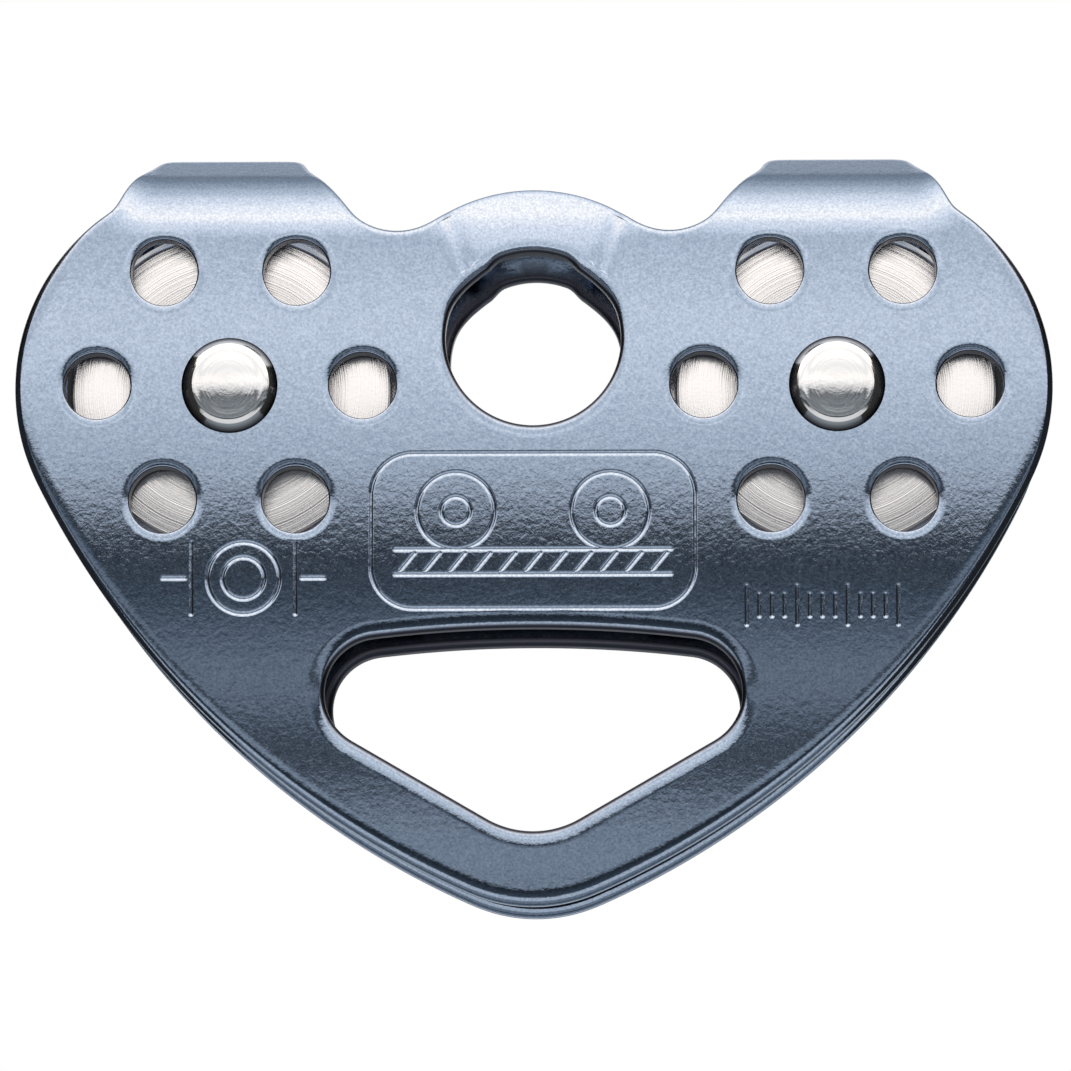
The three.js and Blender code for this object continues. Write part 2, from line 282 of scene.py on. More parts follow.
def plate_outline():
    fold_z = TAB_BEND_START + TAB_BEND_RADIUS * math.sin(TAB_BEND)
    fold_inner = np.array([-AXLE_X + TAB_FOLD_INNER, fold_z])
    fold_outer = np.array([-AXLE_X - TAB_FOLD_OUTER, fold_z - TAB_FOLD_OUTER_DROP])
    end_inner = (-AXLE_X + TAB_END_HALF_WIDTH, TAB_TOP)
    end_outer = (-AXLE_X - TAB_END_HALF_WIDTH, TAB_TOP)
    lobe = (-AXLE_X, 0)
    toe = (0, TOE_RADIUS - TOE_DROP)
    side = touching_centre(lobe, LOBE_RADIUS, toe, TOE_RADIUS, SIDE_RADIUS)
    lobe_end, side_end = heading(side, lobe), heading(side, toe)
    return mirrored(np.vstack([
        *crest_and_saddle(fold_inner),
        rounded_corner(fold_inner, end_inner, end_outer, TAB_CORNER_RADIUS),
        rounded_corner(end_inner, end_outer, fold_outer, TAB_CORNER_RADIUS),
        fold_outer,
        arc(lobe, LOBE_RADIUS, 180 - SHOULDER_ANGLE, lobe_end),
        arc(side, SIDE_RADIUS, lobe_end, side_end),
        arc(toe, TOE_RADIUS, side_end, 270),
    ]))


def opening_outline():
    corner = (-OPENING_CORNER[0], OPENING_CORNER[1])
    toe = (0, TOE_BAND - TOE_DROP + OPENING_TOE_RADIUS)
    reach = OPENING_CROWN_RADIUS - OPENING_CORNER_RADIUS
    crown = (0, corner[1] - math.sqrt(reach**2 - corner[0]**2))
    crown_end = heading(crown, corner)
    apart = math.hypot(toe[0] - corner[0], toe[1] - corner[1])
    spread = math.degrees(math.asin((OPENING_TOE_RADIUS - OPENING_CORNER_RADIUS) / apart))
    flank = heading(corner, toe) - 90 - spread
    return mirrored(np.vstack([
        arc(crown, OPENING_CROWN_RADIUS, 90, crown_end),
        arc(corner, OPENING_CORNER_RADIUS, crown_end, flank),
        arc(toe, OPENING_TOE_RADIUS, flank, 270),
    ]))


def resampled(points, step):
    """A closed polyline with evenly spaced points."""
    closed = np.vstack([points, points[:1]])
    lengths = np.linalg.norm(np.diff(closed, axis=0), axis=1)
    keep = np.concatenate([lengths > 1e-6, [True]])
    closed = closed[keep]
    travelled = np.concatenate([[0], np.cumsum(np.linalg.norm(np.diff(closed, axis=0), axis=1))])
    count = int(round(travelled[-1] / step))
    stations = np.linspace(0, travelled[-1], count, endpoint=False)
    return np.column_stack([np.interp(stations, travelled, closed[:, k]) for k in (0, 1)])


def softened(points, rounds):
    """The closed polyline with its corners eased."""
    for _ in range(rounds):
        points = (np.roll(points, 1, 0) + 2 * points + np.roll(points, -1, 0)) / 4
    return points


def signed_area(points):
    following = np.roll(points, -1, 0)
    return 0.5 * float(np.sum(points[:, 0] * following[:, 1] - following[:, 0] * points[:, 1]))


def into_material(points):
    """Unit normals that point into the sheet, for an outline that runs with the sheet on its left."""
    tangent = np.roll(points, -1, 0) - np.roll(points, 1, 0)
    tangent /= np.linalg.norm(tangent, axis=1)[:, None]
    return np.column_stack([-tangent[:, 1], tangent[:, 0]])


def inside(points, loop):
    """Which points lie inside a closed loop."""
    result = np.zeros(len(points), bool)
    x, y = points[:, 0], points[:, 1]
    for (x1, y1), (x2, y2) in zip(loop, np.roll(loop, -1, 0)):
        if y1 == y2:
            continue
        crosses = (y1 > y) != (y2 > y)
        result ^= crosses & (x < (x2 - x1) * (y - y1) / (y2 - y1) + x1)
    return result


# ---------- The bent sheet ----------

def smooth_step(low, high, value):
    t = np.clip((value - low) / (high - low), 0, 1)
    return t * t * (3 - 2 * t)


def folded(height, depth, start, radius, angle):
    """Y and Z of points of a sheet that stands up to start and then bends inwards through angle."""
    turn = np.clip((height - start) / radius, 0, angle)
    beyond = np.maximum(height - start - radius * angle, 0)
    y = -OUTER_Y + radius - (radius - depth) * np.cos(turn) + beyond * np.sin(turn)
    z = np.minimum(height, start) + (radius - depth) * np.sin(turn) + beyond * np.cos(turn)
    return y, z


def bent(x, height, depth):
    """Where points of the flat blank go on the formed front plate. depth counts from the outer face."""
    tab_y, tab_z = folded(height, depth, TAB_BEND_START, TAB_BEND_RADIUS, TAB_BEND)
    unbent = smooth_step(*TAB_BEND_FADE, np.abs(x) - AXLE_X)
    tab_y += (depth - OUTER_Y - tab_y) * unbent
    tab_z += (height - tab_z) * unbent
    flap_y, flap_z = folded(height, depth, FLAP_BEND_START, FLAP_BEND_RADIUS, FLAP_BEND)
    crease = FLAP_HALF_WIDTH + np.maximum(height - FLAP_BEND_START, 0) * FLAP_SPREAD
    flap = 1 - smooth_step(crease - FLAP_CREASE, crease + FLAP_CREASE, np.abs(x))
    y = tab_y + (flap_y - tab_y) * flap
    z = tab_z + (flap_z - tab_z) * flap
    return np.column_stack([x, y, z + AXLE_Z])


def unfolded(points):
    """The blank's outline that gives these heights once it is bent."""
    low = points[:, 1] + UNBENT_SEARCH[0]
    high = points[:, 1] + UNBENT_SEARCH[1]
    for _ in range(UNBENT_ROUNDS):
        middle = (low + high) / 2
        above = bent(points[:, 0], middle, np.zeros(len(points)))[:, 2] - AXLE_Z > points[:, 1]
        high = np.where(above, middle, high)
        low = np.where(above, low, middle)
    return np.column_stack([points[:, 0], (low + high) / 2])


def lightening_centres():
    angles = 2 * np.pi * np.arange(HOLE_COUNT) / HOLE_COUNT
    offsets = [(HOLE_CIRCLE * math.cos(a), HOLE_CIRCLE * math.sin(a)) for a in angles]
    return [(side * AXLE_X + x, z) for side in (-1, 1) for x, z in offsets]


def with_crease_ends(circle):
    """The centre hole's outline, drawn in a little where the flap's creases reach it."""
    middle = np.array([0, CENTRE_HOLE_RISE])
    from_middle = circle - middle
    from_top = np.abs(np.degrees(np.arctan2(from_middle[:, 0], from_middle[:, 1])))
    rise = smooth_step(*CREST_NOTCH_START, from_top)
    fall = 1 - smooth_step(*CREST_NOTCH_END, from_top)
    return middle + from_middle * (1 - CREST_NOTCH * rise * fall / CENTRE_HOLE_RADIUS)[:, None]


def plate_contours():
    """The blank's contours, each with the sheet on its left and its kind of edge. The outline is first."""
    outline = softened(resampled(unfolded(plate_outline()), CONTOUR_STEP), OUTLINE_EASING)
    contours = [(outline, OUTLINE_EDGE), (resampled(opening_outline(), CONTOUR_STEP), OPENING_EDGE)]
    circles = [((0, CENTRE_HOLE_RISE), CENTRE_HOLE_RADIUS, CENTRE_EDGE)]
    circles += [(middle, HOLE_RADIUS, HOLE_EDGE) for middle in lightening_centres()]
    circles += [((side * AXLE_X, 0), PIN_HOLE_RADIUS, PIN_EDGE) for side in (-1, 1)]
    for middle, radius, edge in circles:
        circle = arc(middle, radius, 0, 360, CONTOUR_STEP)[:-1]
        if edge is CENTRE_EDGE:
            circle = with_crease_ends(circle)
        contours.append((unfolded(circle), edge))
    oriented = []
    for index, (points, edge) in enumerate(contours):
        if (signed_area(points) > 0) != (index == 0):
            points = points[::-1].copy()
        oriented.append((points, edge))
    return oriented


# ---------- Engraved pictograms: lines cut into the outer face ----------

def segment(start, end):
    count = max(2, int(math.hypot(end[0] - start[0], end[1] - start[1]) / LINE_STEP))
    return np.linspace(start, end, count + 1)


def rounded_frame(centre, half_width, half_height, radius):
    cx, cz = centre
    lines = []
    for sign in (-1, 1):
        lines.append(segment((cx - half_width + radius, cz + sign * half_height),
                             (cx + half_width - radius, cz + sign * half_height)))
        lines.append(segment((cx + sign * half_width, cz - half_height + radius),
                             (cx + sign * half_width, cz + half_height - radius)))
    for quarter, (sx, sz) in enumerate([(1, 1), (-1, 1), (-1, -1), (1, -1)]):
        corner = (cx + sx * (half_width - radius), cz + sz * (half_height - radius))
        lines.append(arc(corner, radius, 90 * quarter, 90 * quarter + 90, LINE_STEP))
    return lines


def ring(centre, radius):
    return arc(centre, radius, 0, 360, LINE_STEP)


def rope_pictogram():
    """Two wheels on a twisted rope, in a plain frame."""
    lines = rounded_frame(FRAME_MIDDLE, *FRAME_HALF_SIZE, FRAME_CORNER)
    wheel_z = FRAME_MIDDLE[1] + WHEEL_RISE
    for side in (-1, 1):
        lines.append(ring((side * WHEEL_X, wheel_z), WHEEL_RADIUS))
        lines.append(ring((side * WHEEL_X, wheel_z), HUB_RADIUS))
    rope_top = wheel_z - WHEEL_RADIUS
    rope_bottom = rope_top - ROPE_WIDTH
    for z in (rope_top, rope_bottom):
        lines.append(segment((-ROPE_HALF_LENGTH, z), (ROPE_HALF_LENGTH, z)))
    for k in range(STRAND_COUNT):
        x = (k - (STRAND_COUNT - 1) / 2) * STRAND_SPACING
        lines.append(segment((x - STRAND_LEAN, rope_bottom + STRAND_GAP),
                             (x + STRAND_LEAN, rope_top - STRAND_GAP)))
    return lines


def rope_size_pictogram():
    """A rope's round section between two measuring marks."""
    middle_x, middle_z = SECTION_MIDDLE
    lines = [ring(SECTION_MIDDLE, radius) for radius in SECTION_RADII]
    for sign in (-1, 1):
        x = middle_x + sign * MARK_X
        lines.append(segment((x, middle_z - SECTION_RADII[0]), (x, middle_z + SECTION_RADII[0])))
        lines.append(segment((x + sign * MARK_LEAD[0], middle_z), (x + sign * MARK_LEAD[1], middle_z)))
    return lines


def tick_marks():
    """A plain row of ticks."""
    lines = []
    for k in range(TICK_COUNT):
        tall = LONG_TICK if k % LONG_TICK_EVERY == 0 else SHORT_TICK
        x = TICK_START[0] + TICK_SPACING * k
        lines.append(segment((x, TICK_START[1] - tall), (x, TICK_START[1] + tall)))
    return lines


def engraving_lines():
    return rope_pictogram() + rope_size_pictogram() + tick_marks()


def tree_of(points):
    tree = kdtree.KDTree(len(points))
    for index, point in enumerate(points):
        tree.insert((point[0], point[1], 0), index)
    tree.balance()
    return tree


def distances(tree, points):
    return np.array([tree.find((x, y, 0))[2] for x, y in points])


def groove_depth(distance):
    return GROOVE_DEPTH * (1 - smooth_step(0, GROOVE_HALF_WIDTH, distance))


# ---------- Meshes ----------

def make_object(name, vertices, faces, material, origin=(0, 0, 0)):
    """A mesh object from millimetre coordinates that are counted from origin."""
    mesh = bpy.data.meshes.new(name)
    mesh.from_pydata([tuple(v) for v in np.asarray(vertices) * MM], [], faces)
    mesh.validate()
    for polygon in mesh.polygons:
        polygon.use_smooth = True
    mesh.set_sharp_from_angle(angle=SHARP_ANGLE)
    mesh.materials.append(material)
    piece = bpy.data.objects.new(name, mesh)
    piece.location = Vector(origin) * MM
    bpy.context.scene.collection.objects.link(piece)
    return piece


def hex_grid(low, high, step):
    """Points of an even grid over a rectangle."""
    rows = []
    for k, z in enumerate(np.arange(low[1], high[1], step * math.sqrt(3) / 2)):
        xs = np.arange(low[0] + (k % 2) * step / 2, high[0], step)
        rows.append(np.column_stack([xs, np.full(len(xs), z)]))
    return np.vstack(rows)


def inner_points(rings, step, clear):
    """Grid points inside the sheet and clear of its rings."""
    outline = rings[0]
    points = hex_grid(outline.min(0), outline.max(0), step)
    keep = inside(points, outline)
    for loop in rings[1:]:
        keep &= ~inside(points, loop)
    points = points[keep]
    return points[distances(tree_of(np.vstack(rings)), points) > clear]


def engraved_points(line_tree):
    """A fine grid over the engraved lines only."""
    reach = GROOVE_HALF_WIDTH + 2.5 * ENGRAVED_GRID
    points = hex_grid(ENGRAVED_LOW, ENGRAVED_HIGH, ENGRAVED_GRID)
    return points[distances(line_tree, points) < reach]


def cap(rings, free_points):
    """Triangles that fill the sheet between contour rings, as indices into rings followed by free_points."""
    coordinates = np.vstack(rings + [free_points])
    edges = []
    start = 0
    for loop in rings:
        count = len(loop)
        edges += [(start + k, start + (k + 1) % count) for k in range(count)]
        start += count
    filled = geometry.delaunay_2d_cdt([Vector(p) for p in coordinates], edges, [], 0, MERGE_DISTANCE)
    vertices, faces, origins = filled[0], filled[2], filled[3]
    source = [o[0] if o else -1 for o in origins]
    places = np.array([tuple(v) for v in vertices])
    triangles = np.array([f for f in faces if len(f) == 3])
    middles = places[triangles].mean(axis=1)
    keep = inside(middles, rings[0])
    for loop in rings[1:]:
        keep &= ~inside(middles, loop)
    return [tuple(source[i] for i in t) for t in triangles[keep] if all(source[i] >= 0 for i in t)]


def surface_sag(points):
    """Soft creases that run down from the crest on both sides of the flap."""
    crease = FLAP_HALF_WIDTH + (points[:, 1] - FLAP_BEND_START) * FLAP_SPREAD
    aside = np.abs(np.abs(points[:, 0]) - crease)
    along = smooth_step(*CREASE_START, points[:, 1]) * (1 - smooth_step(*CREASE_END, points[:, 1]))
    return CREASE_DEPTH * np.exp(-(aside / CREASE_WIDTH) ** 2) * along


def edge_levels(edge):
    """Inset and depth from the flat face over a rolled edge, down the wall and round to the inner face."""
    width, roll, power, corner, back = edge
    levels = [(width, 0.0)]
    for inset in np.linspace(width, corner, ROLL_STEPS)[1:]:
        levels.append((inset, roll * ((width - inset) / width) ** power))
    rolled = levels[-1][1]
    start = math.atan(power * roll / width * ((width - corner) / width) ** (power - 1))
    for angle in np.linspace(start, math.pi / 2, CORNER_STEPS)[1:]:
        inset = corner * (1 - math.sin(angle)) / (1 - math.sin(start))
        levels.append((inset, rolled + corner * (math.cos(start) - math.cos(angle))))
    for angle in np.linspace(math.pi / 2, 0, BACK_STEPS):
        levels.append((back * (1 - math.sin(angle)), THICKNESS - back * (1 - math.cos(angle))))
    return levels


def edge_shade(level, edge):
    """How much painted shade, and on the plate how much rougher finish, one level of an edge gets: 0 on the
    roll, and 1 past the corner's start.
    """
    half_shaded = ROLL_STEPS + (SHADE_AFTER_HOLE_ROLL if edge is HOLE_EDGE else SHADE_AFTER_ROLL)
    return float(smooth_step(half_shaded - 1, half_shaded + 1, level))


def plate_mesh():
    """Vertices, faces and painted edge shades of the front plate, with its edges rolled and its face
    engraved.
    """
    contours = plate_contours()
    line_tree = tree_of(np.vstack(engraving_lines()))
    vertices, faces, shades = [], [], []

    def add_points(points, depth, shade=0.0):
        start = len(vertices)
        vertices.extend(np.column_stack([points, np.broadcast_to(depth, len(points))]))
        shades.extend(np.broadcast_to(shade, len(points)))
        return start + np.arange(len(points))

    outer_rings, inner_rings, outer_indices, inner_indices = [], [], [], []
    for points, edge in contours:
        normal = into_material(points)
        width_share, shade_share = np.ones(len(points)), np.ones(len(points))
        # On the outline, the painted edge shade is kept to the top.
        if edge is OUTLINE_EDGE:
            width_share -= (1 - NARROW_EDGE) * smooth_step(*NARROW_EDGE_HEIGHT, points[:, 1])
            shade_share = smooth_step(*SHADED_EDGE_HEIGHT, points[:, 1])
        levels = edge_levels(edge)
        loops = [points + normal * inset * width_share[:, None] for inset, _ in levels]
        rings = [add_points(loop, depth, edge_shade(level, edge) * shade_share)
                 for level, (loop, (_, depth)) in enumerate(zip(loops, levels))]
        for upper, lower in zip(rings[:-1], rings[1:]):
            for k in range(len(points)):
                n = (k + 1) % len(points)
                faces.append((int(upper[k]), int(upper[n]), int(lower[n]), int(lower[k])))
        outer_rings.append(loops[0])
        inner_rings.append(loops[-1])
        outer_indices.append(rings[0])
        inner_indices.append(rings[-1])

    def add_cap(rings, indices, free_points, depth, flip):
        index_of = np.concatenate(indices + [add_points(free_points, depth)])
        for triangle in cap(rings, free_points):
            corners = tuple(int(index_of[i]) for i in triangle)
            faces.append(corners[::-1] if flip else corners)

    grid = inner_points(outer_rings, GRID, GRID_CLEARANCE)
    grid = grid[distances(line_tree, grid) > GROOVE_HALF_WIDTH + 4 * ENGRAVED_GRID]
    add_cap(outer_rings, outer_indices, np.vstack([grid, engraved_points(line_tree)]), 0, False)
    add_cap(inner_rings, inner_indices, inner_points(inner_rings, 2 * GRID, GRID), THICKNESS, True)

    flat = np.array(vertices)
    on_face = flat[:, 2] < 1e-9
    face_points = flat[on_face][:, :2]
    flat[on_face, 2] += groove_depth(distances(line_tree, face_points)) + surface_sag(face_points)
    return bent(flat[:, 0], flat[:, 1], flat[:, 2]), faces, shades


def set_edge_shade(piece, shades):
    """Stores the edge mask at each vertex for the material to read: painted shade on the colour, and on the
    plate a rougher finish.
    """
    attribute = piece.data.attributes.new(EDGE_ATTRIBUTE, "FLOAT", "POINT")
    attribute.data.foreach_set("value", shades)


def make_plates(finish):
    vertices, faces, shades = plate_mesh()
    front = make_object("plate_front", vertices, faces, finish)
    mirrored_vertices = vertices * np.array([1, -1, 1])
    rear = make_object("plate_rear", mirrored_vertices, [f[::-1] for f in faces], finish)
    for piece, node in ((front, "front_side_plate"), (rear, "rear_side_plate")):
        set_edge_shade(piece, shades)
        finish_piece(piece, "side_frame", node)


def finish_piece(piece, body, node):
    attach(piece, body)
    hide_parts(node)


def turned(profile, segments):
    """Vertices and faces of a profile of (radius, y) points turned about Y. Points on the axis are shared."""
    vertices, faces, rings = [], [], []
    for radius, y in profile:
        if radius < 1e-9:
            rings.append([len(vertices)] * segments)
            vertices.append((0, y, 0))
            continue
        rings.append(list(range(len(vertices), len(vertices) + segments)))
        for k in range(segments):
            angle = 2 * math.pi * k / segments
            vertices.append((radius * math.sin(angle), y, radius * math.cos(angle)))
    closed = profile[0][0] > 1e-9
    pairs = list(zip(rings, rings[1:] + rings[:1])) if closed else list(zip(rings[:-1], rings[1:]))
    for first, second in pairs:
        for k in range(segments):
            n = (k + 1) % segments
            corners = [first[k], first[n], second[n], second[k]]
            unique = [c for i, c in enumerate(corners) if c not in corners[:i]]
            faces.append(tuple(unique))
    return vertices, faces


def eased(corners):
    """A closed profile from corners of (radius, y, rounding), with each corner rounded."""
    rounded = []
    count = len(corners)
    for k, (radius, y, rounding) in enumerate(corners):
        here = np.array([radius, y])
        before, after = np.array(corners[k - 1][:2]), np.array(corners[(k + 1) % count][:2])
        if rounding <= 0:
            rounded.append(tuple(here))
            continue
        to_before = (before - here) / np.linalg.norm(before - here)
        to_after = (after - here) / np.linalg.norm(after - here)
        for t in np.linspace(0, 1, ROUNDING_STEPS + 1):
            point = here + to_before * rounding * (1 - t) ** 2 + to_after * rounding * t**2
            rounded.append(tuple(point))
    return rounded


def sheave_profile():
    half = [
        (SHEAVE_RADIUS, SHEAVE_HALF - RIM_BEVEL[1], 0.3), (SHEAVE_RADIUS - RIM_BEVEL[0], SHEAVE_HALF, 0.35),
        (RECESS_RADIUS, SHEAVE_HALF, 0.2), (RECESS_RADIUS, HUB_Y, 0.15), (SHEAVE_BORE, HUB_Y, 0.3),
    ]
    middle = (TREAD_RADIUS + ROPE_GROOVE_RADIUS, 0)
    groove = arc(middle, ROPE_GROOVE_RADIUS, *ROPE_GROOVE_SPAN, ROPE_GROOVE_STEP)
    other_half = [(radius, -y, rounding) for radius, y, rounding in half[::-1]]
    return eased(other_half + [(radius, y, 0) for radius, y in groove] + half)


def rivet_profile():
    """A pin's outline, with a shallow domed head on each plate that has a bevel and a steep side."""
    head = []
    for radius in np.linspace(0, DOME_RADIUS, DOME_POINTS):
        height = HEAD_HEIGHT - DOME_DROP * (radius / DOME_RADIUS) ** 2
        height -= TURNED_LINE_DEPTH * math.exp(-((radius - TURNED_LINE_RADIUS) / TURNED_LINE_WIDTH) ** 2)
        head.append((radius, height))
    top = head[-1][1] - BEVEL_DROP
    for t in np.linspace(0, 1, BEVEL_POINTS):
        slope = BEVEL_SLOPES[0] + (BEVEL_SLOPES[1] - BEVEL_SLOPES[0]) * t
        head.append((BEVEL_START + BEVEL_WIDTH * t, top - BEVEL_WIDTH * t * slope))
    head += [(HEAD_RADIUS - inset, height) for inset, height in HEAD_FOOT]
    half = [(radius, OUTER_Y + height) for radius, height in head] + [(PIN_RADIUS, OUTER_Y)]
    return [(radius, -y) for radius, y in half] + half[::-1]


def shade_steep_side(piece):
    """Paints shade on the steep lower side of the rivet heads through the edge mask."""
    radii = np.array([math.hypot(v.co.x, v.co.z) / MM for v in piece.data.vertices])
    outside_bevel = radii - BEVEL_START - BEVEL_WIDTH
    set_edge_shade(piece, smooth_step(*SHADED_SIDE, outside_bevel))


def ring_profile(inner, outer, low, high, rounding):
    corners = [(inner, low), (outer, low), (outer, high), (inner, high)]
    return eased([(radius, y, rounding) for radius, y in corners])


def bushing_profile(side):
    corners = [
        (BUSHING_BORE, BUSHING_START_Y), (BUSHING_RADIUS, BUSHING_START_Y), (BUSHING_RADIUS, HUB_Y),
        (FLANGE_RADIUS, HUB_Y), (FLANGE_RADIUS, FLANGE_OUTER_Y), (BUSHING_BORE, FLANGE_OUTER_Y),
    ]
    if side < 0:
        corners = [(radius, -y) for radius, y in corners][::-1]
    return eased([(radius, y, BUSHING_ROUNDING) for radius, y in corners])


def make_turned(name, profile, segments, material, x, body, node):
    vertices, faces = turned(profile, segments)
    piece = make_object(name, vertices, faces, material, (x, 0, AXLE_Z))
    finish_piece(piece, body, node)
    return piece


# ---------- Materials ----------

NOISE_LOW, NOISE_HIGH = 0.3, 0.7
PLATE_COLOURS = ((0.31, 0.375, 0.49), (0.475, 0.56, 0.69))
# The plate's edge colour is painted shade: dark rims and walls where the edges turn away from the light.
PLATE_EDGE_SHADE_COLOUR = (0.09, 0.09, 0.11)
PLATE_ROUGHNESS = (0.05, 0.09)
PLATE_EDGE_ROUGHNESS = 0.25
# The metal edge colour is painted shade, used on the rivet heads' steep sides.
METAL_EDGE_SHADE_COLOUR = (0.03, 0.03, 0.035)
BEARING_COLOURS = ((0.03, 0.028, 0.025), (0.09, 0.08, 0.07))
FLOOR_COLOURS = ((0.85, 0.85, 0.85), (0.87, 0.87, 0.87))

# Layers of fine bumps: scale, detail and roughness of the noise, then strength and height in metres.
PLATE_BUMPS = [(700, 2, 0.5, 0.05, 0.0002), (1800, 1, 0.4, 0.06, 0.00012), (4200, 3, 0.6, 0.06, 0.0001)]
METAL_SCRATCHES = (2500, 2, 0.5, 0.05, 0.0001)
METAL_DENTS = (420, 3, 0.6)
METAL_DENT_HEIGHT = 0.0003
RING_WANDER = 0.00025
RING_DETAIL = 4
RING_ROUGHNESS = 0.65
RING_HEIGHT = 0.00008


def new_material(name, colour, metallic, roughness):
    material = bpy.data.materials.new(name)
    material.use_nodes = True
    nodes, links = material.node_tree.nodes, material.node_tree.links
    shader = nodes["Principled BSDF"]
    shader.inputs["Base Color"].default_value = (*colour, 1)
    shader.inputs["Metallic"].default_value = metallic
    shader.inputs["Roughness"].default_value = roughness
    return material, nodes, links, shader


def noise(nodes, links, vector, scale, detail=2.0, roughness=0.5):
    node = nodes.new("ShaderNodeTexNoise")
    node.inputs["Scale"].default_value = scale
    node.inputs["Detail"].default_value = detail
    node.inputs["Roughness"].default_value = roughness
    links.new(vector, node.inputs["Vector"])
    return node.outputs["Fac"]


def remapped(nodes, links, value, low, high, start=NOISE_LOW, end=NOISE_HIGH):
    """The range from start to end stretched to run from low to high, held at its ends."""
    node = nodes.new("ShaderNodeMapRange")
    node.inputs["From Min"].default_value = start
    node.inputs["From Max"].default_value = end
    node.inputs["To Min"].default_value = low
    node.inputs["To Max"].default_value = high
    links.new(value, node.inputs["Value"])
    return node.outputs["Result"]


def blended_colour(nodes, links, factor, first, second):
    """A colour that goes from the first to the second by factor. The first can be a socket."""
    node = nodes.new("ShaderNodeMix")
    node.data_type = "RGBA"
    if isinstance(first, tuple):
        node.inputs["A"].default_value = (*first, 1)
    else:
        links.new(first, node.inputs["A"])
    node.inputs["B"].default_value = (*second, 1)
    links.new(factor, node.inputs["Factor"])
    return node.outputs["Result"]


def math_node(nodes, links, operation, *values):
    """The result of an operation on numbers and sockets."""
    node = nodes.new("ShaderNodeMath")
    node.operation = operation
    for socket, value in zip(node.inputs, values):
        if isinstance(value, (int, float)):
            socket.default_value = value
        else:
            links.new(value, socket)
    return node.outputs["Value"]


def split_vector(nodes, links, vector):
    """The X, Y and Z sockets of a vector."""
    node = nodes.new("ShaderNodeSeparateXYZ")
    links.new(vector, node.inputs["Vector"])
    return node.outputs


def bump(nodes, links, height, strength, distance, below=None):
    node = nodes.new("ShaderNodeBump")
    node.inputs["Strength"].default_value = strength
    node.inputs["Distance"].default_value = distance
    links.new(height, node.inputs["Height"])
    if below is not None:
        links.new(below, node.inputs["Normal"])
    return node.outputs["Normal"]


def noise_bumps(nodes, links, where, layers):
    """Bumps made of noise, one on top of another."""
    normal = None
    for scale, detail, roughness, strength, distance in layers:
        height = noise(nodes, links, where, scale, detail, roughness)
        normal = bump(nodes, links, height, strength, distance, normal)
    return normal


def object_coordinates(nodes):
    return nodes.new("ShaderNodeTexCoord").outputs["Object"]


def edge_shade_and_dullness(nodes):
    """The edge mask stored in the mesh: painted shade on the colour, and on the plate a rougher finish. It is
    0 on a mesh that stores nothing.
    """
    node = nodes.new("ShaderNodeAttribute")
    node.attribute_name = EDGE_ATTRIBUTE
    return node.outputs["Fac"]


def anodised_aluminium():
    material, nodes, links, shader = new_material("anodised_aluminium", (0.40, 0.48, 0.61), 1.0, 0.07)
    where = object_coordinates(nodes)
    specks = noise(nodes, links, where, scale=3600, detail=2, roughness=0.6)
    colour = blended_colour(nodes, links, remapped(nodes, links, specks, 0, 1), *PLATE_COLOURS)
    shade_and_dullness = edge_shade_and_dullness(nodes)
    # Painted shade on the plate's edges and walls from the edge mask, which also makes them rougher.
    links.new(blended_colour(nodes, links, shade_and_dullness, colour, PLATE_EDGE_SHADE_COLOUR), shader.inputs["Base Color"])
    gloss = remapped(nodes, links, noise(nodes, links, where, scale=900, detail=3), *PLATE_ROUGHNESS)
    roughness = math_node(nodes, links, "MULTIPLY_ADD", shade_and_dullness, PLATE_EDGE_ROUGHNESS, gloss)
    links.new(roughness, shader.inputs["Roughness"])
    links.new(noise_bumps(nodes, links, where, PLATE_BUMPS), shader.inputs["Normal"])
    return material


def turned_metal(name, colour, darker, roughness, ring_scale, ring_strength, dents=0.0):
    """Bright metal with fine rings round the piece's own Y axis, and dents if it was hammered."""
    material, nodes, links, shader = new_material(name, colour, 1.0, roughness)
    where = object_coordinates(nodes)
    sides = split_vector(nodes, links, where)
    flat = nodes.new("ShaderNodeCombineXYZ")
    links.new(sides["X"], flat.inputs["X"])
    links.new(sides["Z"], flat.inputs["Y"])
    length = nodes.new("ShaderNodeVectorMath")
    length.operation = "LENGTH"
    links.new(flat.outputs["Vector"], length.inputs[0])
    wander = noise(nodes, links, where, scale=120)
    radius = math_node(nodes, links, "MULTIPLY_ADD", wander, RING_WANDER, length.outputs["Value"])
    rings = nodes.new("ShaderNodeTexNoise")
    rings.noise_dimensions = "1D"
    rings.inputs["Scale"].default_value = ring_scale
    rings.inputs["Detail"].default_value = RING_DETAIL
    rings.inputs["Roughness"].default_value = RING_ROUGHNESS
    links.new(radius, rings.inputs["W"])
    bright = blended_colour(nodes, links, rings.outputs["Fac"], darker, colour)
    # Painted shade where the edge mask marks the metal, such as the rivet heads' steep sides.
    shaded = blended_colour(nodes, links, edge_shade_and_dullness(nodes), bright, METAL_EDGE_SHADE_COLOUR)
    links.new(shaded, shader.inputs["Base Color"])
    worn = noise_bumps(nodes, links, where, [(*METAL_DENTS, dents, METAL_DENT_HEIGHT), METAL_SCRATCHES])
    normal = bump(nodes, links, rings.outputs["Fac"], ring_strength, RING_HEIGHT, worn)
    links.new(normal, shader.inputs["Normal"])
    return material


def bearing_material():
    material, nodes, links, shader = new_material("bearing_composite", (0.05, 0.045, 0.04), 0.0, 0.55)
    specks = noise(nodes, links, object_coordinates(nodes), scale=1800, detail=4)
    links.new(blended_colour(nodes, links, specks, *BEARING_COLOURS), shader.inputs["Base Color"])
    links.new(bump(nodes, links, specks, strength=0.15, distance=0.0001), shader.inputs["Normal"])
    return material


